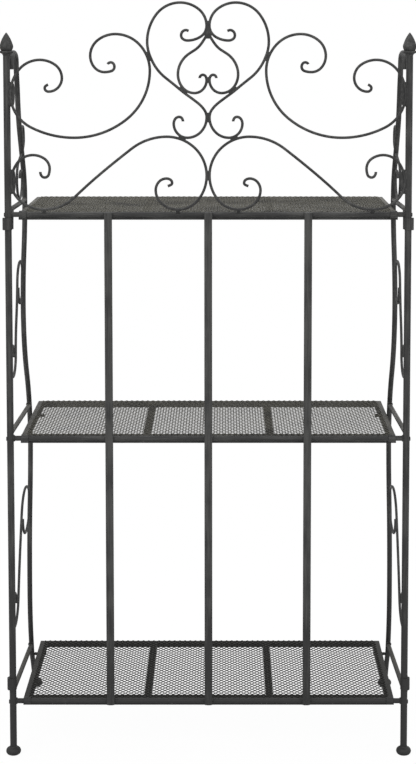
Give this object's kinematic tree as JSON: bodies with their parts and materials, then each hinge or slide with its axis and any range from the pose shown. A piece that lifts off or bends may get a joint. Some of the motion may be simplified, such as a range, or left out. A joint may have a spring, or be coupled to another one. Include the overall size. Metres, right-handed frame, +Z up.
{
  "type": "bakers rack",
  "caption": "Free-standing metal bakers rack with mesh shelves that fold up on their rails, hinged side frames and a scrolled crown.",
  "frame": {"origin": "on the floor, in the middle of the rack's footprint", "axes": "+Z up, +Y towards the open front, the scrolled back on the -Y side, +X to the right seen from behind"},
  "size_m": [0.763, 0.3858, 1.412],
  "materials": {
    "frame_metal": "satin, worn black",
    "scroll_metal": "satin, worn black",
    "shelf_metal": "dull grey-black",
    "cast_metal": "mottled black"
  },
  "bodies": {
    "back_frame": {"left_back_post": "frame_metal", "right_back_post": "frame_metal", "left_finial": "cast_metal", "right_finial": "cast_metal", "left_rear_foot": "cast_metal", "right_rear_foot": "cast_metal", "left_outer_scroll": "scroll_metal", "right_outer_scroll": "scroll_metal", "left_heart_rod": "scroll_metal", "right_heart_rod": "scroll_metal", "left_pear_scroll": "scroll_metal", "right_pear_scroll": "scroll_metal", "left_lower_scroll": "scroll_metal", "right_lower_scroll": "scroll_metal", "left_back_bar": "frame_metal", "right_back_bar": "frame_metal", "centre_back_bar": "frame_metal", "top_rail": "frame_metal", "middle_rail": "frame_metal", "bottom_rail": "frame_metal"},
    "left_side": {"left_front_leg": "frame_metal", "left_front_foot": "cast_metal", "left_hinge_sleeves": "frame_metal", "left_top_bar": "frame_metal", "left_middle_bar": "frame_metal", "left_bottom_bar": "frame_metal", "left_upper_side_scroll": "scroll_metal", "left_middle_side_scroll": "scroll_metal", "left_lower_side_scroll": "scroll_metal", "left_shelf_pins": "frame_metal"},
    "right_side": {"right_front_leg": "frame_metal", "right_front_foot": "cast_metal", "right_hinge_sleeves": "frame_metal", "right_top_bar": "frame_metal", "right_middle_bar": "frame_metal", "right_bottom_bar": "frame_metal", "right_upper_side_scroll": "scroll_metal", "right_middle_side_scroll": "scroll_metal", "right_lower_side_scroll": "scroll_metal", "right_shelf_pins": "frame_metal"},
    "top_shelf": {"top_shelf_rim": "shelf_metal", "top_shelf_mesh": "shelf_metal", "top_shelf_slats": "shelf_metal", "top_shelf_knuckles": "shelf_metal"},
    "middle_shelf": {"middle_shelf_rim": "shelf_metal", "middle_shelf_mesh": "shelf_metal", "middle_shelf_slats": "shelf_metal", "middle_shelf_knuckles": "shelf_metal"},
    "bottom_shelf": {"bottom_shelf_rim": "shelf_metal", "bottom_shelf_mesh": "shelf_metal", "bottom_shelf_slats": "shelf_metal", "bottom_shelf_knuckles": "shelf_metal"}
  },
  "joints": [
    {"name": "top_shelf_fold", "type": "hinge", "parent": "back_frame", "child": "top_shelf", "pos_m": [0, -0.17544, 1.02201], "axis": [1, 0, 0], "range_deg": [0, 90]},
    {"name": "middle_shelf_fold", "type": "hinge", "parent": "back_frame", "child": "middle_shelf", "pos_m": [0, -0.17544, 0.60405], "axis": [1, 0, 0], "range_deg": [0, 90]},
    {"name": "bottom_shelf_fold", "type": "hinge", "parent": "back_frame", "child": "bottom_shelf", "pos_m": [0, -0.17544, 0.102], "axis": [1, 0, 0], "range_deg": [0, 90]},
    {"name": "left_side_swing", "type": "hinge", "parent": "back_frame", "child": "left_side", "pos_m": [-0.3675, -0.17894, 0.7], "axis": [0, 0, 1], "range_deg": [0, 90]},
    {"name": "right_side_swing", "type": "hinge", "parent": "back_frame", "child": "right_side", "pos_m": [0.3675, -0.17894, 0.7], "axis": [0, 0, -1], "range_deg": [0, 90]}
  ]
}
